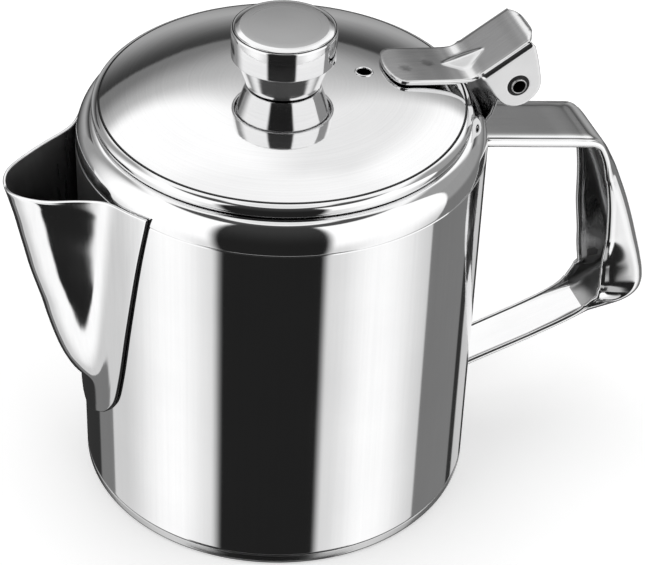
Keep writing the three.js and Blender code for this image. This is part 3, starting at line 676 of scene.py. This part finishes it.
profile = rounded([(0, 112.7), (1.0, 112.7, 0.15), (1.0, 111.95, 0.15), (2.0, 112.02), (3.2, 112.45), (3.95, 113.1), (4.2, 113.8, 0.3), (4.2, 114.3, 0.15), (2.0, 114.3, 0.1),
                   (2.0, 129.6, 0.3), (1.5, 130.2, 0.2), (0, 130.2)], loop=False)
screw = add_mesh("knob_screw_turned", *lathe(profile, 64), sharp=35)
finish_piece(screw, "lid", "knob_screw", M_PIN)
profile = rounded([(2.4, 114.6, 0.15), (6.5, 114.6, 0.3), (6.5, 115.75, 0.3), (2.4, 115.75, 0.15)])
washer = add_mesh("knob_washer_flat", *lathe(profile, 96), sharp=35)
finish_piece(washer, "lid", "knob_washer", M_PIN)

# ------------------------------------------------------------------ hinge
PIN_X, PIN_Z = 60.0, 112.6
lever_line = curve([(26.4, 117.5), (32, 117.0), (38, 116.25), (44, 115.52), (46.4, 115.36), (47.6, 115.45), (48.8, 115.85), (50.2, 116.6), (52, 117.72), (55, 119.6), (59, 122.15),
                    (61.8, 123.98), (63.1, 124.74), (63.9, 124.96), (64.5, 124.82), (64.95, 124.35)], monotone=False)
xs = np.linspace(26.4, 64.95, 1500)
zs = lever_line(xs)
ss = np.concatenate([[0], np.cumsum(np.hypot(np.diff(xs), np.diff(zs)))])
# where the thumb plate is straight: the ears fold down square to it
P0 = np.array([52.0, float(lever_line(52.0))])
P1 = np.array([59.0, float(lever_line(59.0))])
E = (P1 - P0) / np.linalg.norm(P1 - P0)
S0 = float(np.interp(P0[0], xs, ss))
pin_s = S0 + float((np.array([PIN_X, PIN_Z]) - P0) @ E)
pin_d = float((np.array([PIN_X, PIN_Z]) - P0) @ np.array([E[1], -E[0]]))
HW, BEND = 7.85, 1.05          # flat half width of the plate, middle radius of the fold
EAR_Y = HW + BEND
FOLD = BEND * math.pi / 2
ear_len = pin_d - BEND
S_BEND = float(np.interp(47.4, xs, ss))
S_END = ss[-1]
EAR0, EAR1 = float(np.interp(50.0, xs, ss)), float(np.interp(62.3, xs, ss))

leaf_hw = 8.45
w_pin = HW + FOLD + ear_len
S_SIDE = float(np.interp(62.9, xs, ss))
outline = [(0.0, 0.0), (0.08, -1.6), (0.28, -3.2), (0.62, -4.7), (1.05, -6.0), (1.6, -7.05), (2.3, -7.8), (3.2, -8.28), (4.3, -leaf_hw)]   # inner end, bowed
outline += [(EAR0 - 1.6, -leaf_hw), (EAR0 - 0.55, -leaf_hw - 0.25), (EAR0 - 0.1, -HW - FOLD - 0.6)]
left0 = pin_s - 6.3
outline += [(left0 - 0.2, -w_pin + 1.2)]
for a in np.linspace(180, 343, 36):
    outline.append((pin_s + 6.3 * math.cos(rad(a)), -w_pin + 6.3 * math.sin(rad(a))))
# straight on from the round of the ear to the corner under the thumb plate
corner = np.array([EAR1 + 0.85, -HW - FOLD - 0.5])
start = np.array(outline[-1])
for t in (0.3, 0.6, 0.85, 1.0):
    q = start + (corner - start) * t
    outline.append((q[0] + 0.5 * t * (1 - t), q[1] - 0.5 * t * (1 - t)))
outline += [(EAR1 + 0.75, -HW - FOLD + 0.2), (EAR1 + 0.5, -HW + 0.1)]
for a in np.linspace(0.04, 1, 14):                   # bowed outer end
    outline.append((S_SIDE + (S_END - S_SIDE) * (1 - (1 - a) ** 2), -HW * (1 - a)))
half_line = np.array(outline)
full = np.concatenate([half_line, (half_line * np.array([1, -1]))[::-1][1:-1]])
holes = [[(pin_s + 2.55 * math.cos(rad(a)), s * w_pin + 2.55 * math.sin(rad(a))) for a in range(0, 360, 6)] for s in (-1, 1)]
lv, lf = plate(full, holes, 0.5, 0.34, 0.55)


def fold(s, w, t):
    """Flat pattern to the bent lever: s along it, w across it, t through the sheet."""
    x, z = np.interp(s, ss, xs), np.interp(s, ss, zs)
    e = 0.05
    dx, dz = np.interp(s + e, ss, xs) - np.interp(s - e, ss, xs), np.interp(s + e, ss, zs) - np.interp(s - e, ss, zs)
    d = math.hypot(dx, dz)
    n = np.array([-dz / d, dx / d])
    m, sg = abs(w), (1 if w >= 0 else -1)
    ear = EAR0 - 0.7 < s < EAR1 + 3.0 and m > HW
    if ear:
        # folded part: straight line of the plate carries it
        base_p = P0 + E * (s - S0)
        n = np.array([-E[1], E[0]])
        q = (m - HW) / BEND
        if q < math.pi / 2:
            y, drop = HW + BEND * math.sin(q), BEND * (1 - math.cos(q))
            ny, nn = math.sin(q), math.cos(q)
        else:
            y, drop = HW + BEND, BEND + (m - HW - FOLD)
            ny, nn = 1.0, 0.0
        p = base_p - n * drop + n * nn * t
        yy = sg * (y + ny * t)
        b = float(smoothstep(s, EAR0 - 0.7, EAR0 + 0.5))
        flat = np.array([x, z]) + np.array([-dz / d, dx / d]) * t
        if m < HW + FOLD:
            p = flat + (p - flat) * b
            yy = sg * (m + (abs(yy) - m) * b)
        return (p[0], yy, p[1])
    lift = 0.0
    # pressed rib that bridges the bend
    x0, x1 = 42.2, 53.6
    if x0 < x < x1:
        z0, z1 = float(np.interp(x0, xs, zs)), float(np.interp(x1, xs, zs))
        rise = max(0.0, (z0 + (z1 - z0) * (x - x0) / (x1 - x0) - z) * 0.86)
        width = 0.35 + 2.9 * (rise / 1.5)
        u = m / max(width, 0.2)
        lift += rise * float(np.interp(u, [0, 0.16, 0.9, 1.25], [1.0, 0.9, 0.06, 0.0]))
    # two weld spots on the leaf, hardly sunk
    for wx, wy in ((31.8, -1.6), (38.6, 0.6)):
        lift -= 0.015 * math.exp(-(((x - wx) ** 2 + (w - wy) ** 2) / 1.6))
    if t < 0 and x < 46.5:
        # the underside lies close over the lid
        room = z - 0.5 - dome(math.hypot(x, w)) - 0.42
        lift -= min(0.3, max(0.0, room)) * (1 - float(smoothstep(x, 42.5, 46.5))) * min(1.0, -t / 0.5)
    p = np.array([x, z]) + n * (t + lift)
    return (p[0], w, p[1])


lever = add_mesh("hinge_lever_pressed", [fold(*v) for v in lv], lf, sharp=60)
finish_piece(lever, "lid", "hinge_lever", M_LEVER)

# bracket: a strip from the wall up into a knuckle round the pin
mean = 3.6 - 0.525
path = [(53.4, 97.85), (53.4, 99.0), (53.4, 101.0), (53.45, 102.8), (54.1, 105.8), (55.2, 108.6), (56.15, 110.6)] + arc(PIN_X, PIN_Z, mean, mean, 180, -80, 40)
path = np.array(path)
g = np.concatenate([[0], np.cumsum(np.linalg.norm(np.diff(path, axis=0), axis=1))])
q = np.linspace(0, g[-1], 110)
line = np.stack([np.interp(q, g, path[:, 0]), np.interp(q, g, path[:, 1])], 1)
for _ in range(6):
    line[1:-1] = 0.25 * line[:-2] + 0.5 * line[1:-1] + 0.25 * line[2:]
ys = np.linspace(-1, 1, 25)
wide = np.interp(q, [0, 4.0, 6.5, 9.0, 12.0, g[-1]], [5.4, 6.8, 8.1, 8.1, 7.5, 7.5])
grid = np.zeros((len(q), len(ys), 3))
grid[:, :, 0], grid[:, :, 2] = line[:, :1], line[:, 1:]
grid[:, :, 1] = wide[:, None] * ys[None, :]
# the foot follows the round of the wall
bow = np.sqrt(53.4**2 - grid[:, :, 1] ** 2) - 53.4
grid[:, :, 0] += bow * (1 - smoothstep(grid[:, :, 2], 100.5, 105.5))
bracket = add_mesh("hinge_bracket_knuckle", *sheet(grid, 0.5)[:2], sharp=50)
# the bracket's dark tone is painted shade under the lever
finish_piece(bracket, "jug", "hinge_bracket", M_BRACKET_SHADE)

# tubular rivet: the tube stands in the dished head at each end
end = [(1.7, 8.2), (1.7, 9.85), (1.74, 10.03), (1.85, 10.12), (1.97, 10.08), (2.06, 9.95), (2.09, 9.6), (2.13, 9.5), (2.4, 9.48), (2.75, 9.48), (2.96, 9.48), (3.0, 9.45), (2.98, 9.42), (2.2, 9.42)]
profile = end + [(2.2, 6.0), (2.2, 0.0), (2.2, -6.0)] + [(r, -y) for r, y in reversed(end)]
v, f = lathe(profile, 64)
v = np.array(v)
v = np.stack([v[:, 0] + PIN_X, v[:, 2], v[:, 1] + PIN_Z], 1)
pin = add_mesh("hinge_pin_rivet", v.tolist(), f, sharp=60)
finish_piece(pin, "lid", "hinge_pin", M_PIN)
# the bore and the ring of the head round the tube are painted near black: painted shade in the bore, painted shadow
# round the tube
reach = [math.hypot(q.center.x - PIN_X * MM, q.center.z - PIN_Z * MM) for q in pin.data.polygons]
paint(pin, M_PIN_SHADE, [i for i, r in enumerate(reach) if r < 1.72 * MM or r > 2.11 * MM])


# ------------------------------------------------------------------ weld beads
def bead(name, points, radius, seed, body):
    """Uneven bead of weld metal along a line."""
    p = np.asarray(points, float)
    g = np.concatenate([[0], np.cumsum(np.linalg.norm(np.diff(p, axis=0), axis=1))])
    n = max(12, int(g[-1] / 0.22))
    q = np.linspace(0, g[-1], n)
    c = np.stack([np.interp(q, g, p[:, i]) for i in range(3)], 1)
    rng = np.random.default_rng(seed)
    ripple = np.interp(q, np.linspace(0, g[-1], max(4, int(g[-1] / 0.8))), rng.uniform(0.5, 1.35, max(4, int(g[-1] / 0.8))))
    t = np.gradient(c, axis=0)
    t /= np.linalg.norm(t, axis=1, keepdims=True)
    verts, faces = [], []
    ends = np.sqrt(np.clip(1 - (2 * np.linspace(0, 1, n) - 1) ** 10, 0.02, 1))
    for i in range(n):
        a = np.cross(t[i], (0.3, 0.2, 0.93))
        a /= np.linalg.norm(a)
        b = np.cross(t[i], a)
        r = radius * ripple[i] * ends[i]
        for j in range(10):
            w = 2 * math.pi * j / 10
            verts.append(tuple(c[i] + a * r * math.cos(w) + b * r * math.sin(w)))
    for i in range(n - 1):
        for j in range(10):
            faces.append((i * 10 + j, i * 10 + (j + 1) % 10, (i + 1) * 10 + (j + 1) % 10, (i + 1) * 10 + j))
    faces.append(tuple(range(9, -1, -1)))
    faces.append(tuple((n - 1) * 10 + j for j in range(10)))
    ob = add_mesh(name, verts, faces)
    ob.data.materials.append(M_WELD)
    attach(ob, body)
    return ob


for s, tag in ((-1, "near"), (1, "far")):
    line = []
    for a in np.linspace(29.5, 36.0, 16):
        z = 102.35 + (a / 36.3 - 0.67) / 0.33 * 1.3 - (2.4 if s > 0 else 0.0)
        line.append((-52.75 * math.cos(rad(a)), s * 52.75 * math.sin(rad(a)), z))
    bead("spout_weld_" + tag, line, 0.36, 11 + s, "jug")

# ------------------------------------------------------------------ floor, light and camera
floor_v, floor_f = [], []
rings = [0.0] + [0.05 * 1.32**i for i in range(22)]
floor_profile = [(r * 1000.0, -0.02) for r in rings]
floor_v.append((0, 0, -0.02))
for r in rings[1:]:
    for j in range(48):
        a = 2 * math.pi * j / 48
        floor_v.append((r * 1000 * math.cos(a), r * 1000 * math.sin(a), -0.02))
for j in range(48):
    floor_f.append((0, 1 + j, 1 + (j + 1) % 48))
for i in range(len(rings) - 2):
    for j in range(48):
        a, b = 1 + i * 48, 1 + (i + 1) * 48
        floor_f.append((a + j, b + j, b + (j + 1) % 48, a + (j + 1) % 48))
me = bpy.data.meshes.new("studio_floor")
me.from_pydata((np.array(floor_v) * MM).tolist(), [], floor_f)
me.update()
floor = bpy.data.objects.new("studio_floor", me)
bpy.context.scene.collection.objects.link(floor)
mat = bpy.data.materials.new("pale_floor")
tree, bsdf = nodes_of(mat)
bsdf.inputs["Base Color"].default_value = (0.86, 0.86, 0.86, 1)
bsdf.inputs["Roughness"].default_value = 0.9
bsdf.inputs["Specular IOR Level"].default_value = 0.1
bsdf.inputs["Emission Color"].default_value = (1, 1, 1, 1)
bsdf.inputs["Emission Strength"].default_value = 0.5
me.materials.append(mat)
floor.visible_glossy = False

# The studio: white panels left and right, a tall dark gap on the camera's side, and at the back
# a low dark screen with a soft box above it.
FORWARD = 71.576
world = bpy.data.worlds.new("studio")
bpy.context.scene.world = world
world.use_nodes = True
wt = world.node_tree
wt.nodes.clear()
new, link = wt.nodes.new, wt.links.new
coord = new("ShaderNodeTexCoord")
rot = new("ShaderNodeVectorRotate")
rot.rotation_type = "Z_AXIS"
rot.inputs["Angle"].default_value = rad(-FORWARD)
link(coord.outputs["Generated"], rot.inputs["Vector"])
sep = new("ShaderNodeSeparateXYZ")
link(rot.outputs["Vector"], sep.inputs["Vector"])


def op(kind, a, b=0.0, c=None):
    m = new("ShaderNodeMath")
    m.operation = kind
    for i, x in enumerate((a, b) if c is None else (a, b, c)):
        if isinstance(x, (int, float)):
            m.inputs[i].default_value = x
        else:
            link(x, m.inputs[i])
    return m.outputs["Value"]


def ease(x, a, b, lo=0.0, hi=1.0):
    m = new("ShaderNodeMapRange")
    m.interpolation_type = "SMOOTHSTEP"
    for name, v in (("From Min", a), ("From Max", b), ("To Min", lo), ("To Max", hi)):
        m.inputs[name].default_value = v
    link(x, m.inputs["Value"])
    return m.outputs["Result"]


def blend(a, b, f):
    """a where f is 0, b where f is 1."""
    d = op("SUBTRACT", b, a)
    return op("MULTIPLY_ADD", d, f, a)


turn = op("MULTIPLY", op("ARCTAN2", sep.outputs["Y"], sep.outputs["X"]), 180 / math.pi)
wide = op("ABSOLUTE", turn)
rise = op("MULTIPLY", op("ARCSINE", sep.outputs["Z"]), 180 / math.pi)

away = op("MULTIPLY", turn, -1.0)


def window(x, a, b, soft):
    """1 between a and b."""
    return op("MULTIPLY", ease(x, a - soft, a + soft), op("SUBTRACT", 1.0, ease(x, b - soft, b + soft)))


def product(*masks):
    m = masks[0]
    for k in masks[1:]:
        m = op("MULTIPLY", m, k)
    return m


def below_of(x, a, b):
    """1 below a, 0 above b."""
    return op("SUBTRACT", 1.0, ease(x, a, b))


# low screen at the back: dark near the floor, lighter at eye level, dark again towards its top
tone = blend(ease(rise, -30, 6, 0.035, 0.45), ease(rise, 4, 24, 0.45, 0.05), ease(rise, 3, 7))
tone = blend(tone, ease(rise, -15, -5, 0.22, 0.38), op("MAXIMUM", ease(turn, 48.5, 51.5), ease(away, 45, 47)))
tone = blend(tone, 0.62, product(window(away, 20, 38, 1.5), window(rise, -47, -26, 3.0)))
# soft box above it, brighter upwards and lower on the right
lean = op("ADD", op("MULTIPLY_ADD", turn, -0.08, rise), ease(away, 10, 28, 0.0, 4.0))
high = op("ADD", ease(turn, -4, 8, 0.42, 0.68), ease(away, 12, 24, 0.0, 0.25))
box = op("ADD", ease(lean, 25, 32, 0.22, 0.58), op("MULTIPLY", ease(lean, 30.8, 35.4), high))
box = blend(box, 1.15, ease(rise, 52, 62))
box = blend(box, 0.4, product(op("MAXIMUM", ease(turn, 36, 50), ease(away, 38, 52)), below_of(rise, 47, 56)))
tone = blend(tone, box, ease(op("ADD", rise, ease(away, 9, 13, 0.0, 2.8)), 23.6, 24.6))
# white side panels, the left one with a soft upper part
panel = blend(ease(wide, 78, 116, 0.74, 1.22), ease(wide, 122, 150, 1.22, 0.86), ease(wide, 116, 122))
panel = blend(panel, 1.3, ease(rise, -30, -4))
left = blend(ease(turn, 67, 69), ease(turn, 58, 88), ease(rise, -14, -6))
tone = blend(tone, panel, op("MAXIMUM", left, ease(away, 82.5, 84.5)))
# dark ring under the ceiling, straight overhead and straight below
tone = blend(tone, 0.09, product(window(rise, 58.5, 75, 2.5), ease(wide, 70, 86)))
tone = blend(tone, 0.95, ease(rise, 75, 83))
tone = blend(tone, 0.12, below_of(rise, -70, -62))
# tall dark gap towards the camera, wider near the floor
gap = product(op("MAXIMUM", ease(turn, 143, 151), ease(away, 149, 155.5)), below_of(rise, 58, 74))
gap = op("MAXIMUM", gap, product(ease(turn, 126, 129.5), below_of(rise, -45.9, -44.1)))
gap = op("MAXIMUM", gap, product(ease(away, 126, 129.5), below_of(rise, -48.5, -45.5)))
tone = blend(tone, ease(rise, -10, 55, 0.018, 0.05), gap)
tone = blend(tone, 0.6, product(ease(wide, 138, 146), window(rise, -68, -58.5, 1.5)))
path_node = new("ShaderNodeLightPath")
seen = blend(tone, 1.0, path_node.outputs["Is Camera Ray"])
bg = new("ShaderNodeBackground")
link(seen, bg.inputs["Color"])
bg.inputs["Strength"].default_value = 1.0
out = new("ShaderNodeOutputWorld")
link(bg.outputs["Background"], out.inputs["Surface"])

cam_data = bpy.data.cameras.new("photo_camera")
cam_data.sensor_fit = "HORIZONTAL"
cam_data.sensor_width = 36.0
cam_data.lens = 124.80
cam_data.clip_start, cam_data.clip_end = 0.01, 100.0
cam = bpy.data.objects.new("photo_camera", cam_data)
bpy.context.scene.collection.objects.link(cam)
right_v, up_v = Vector((0.95566, -0.29273, 0.03191)).normalized(), Vector((0.15331, 0.58714, 0.79484)).normalized()
back_v = -Vector((0.25141, 0.75470, -0.60599)).normalized()
m = Matrix((right_v, up_v, back_v)).transposed().to_4x4()
m.translation = Vector((-0.13940, -0.45594, 0.41754))
cam.matrix_world = m
bpy.context.scene.camera = cam

vs = bpy.context.scene.view_settings
vs.view_transform = "Standard"
vs.look = "None"
bpy.context.scene.cycles.caustics_reflective = False
bpy.context.scene.cycles.caustics_refractive = False
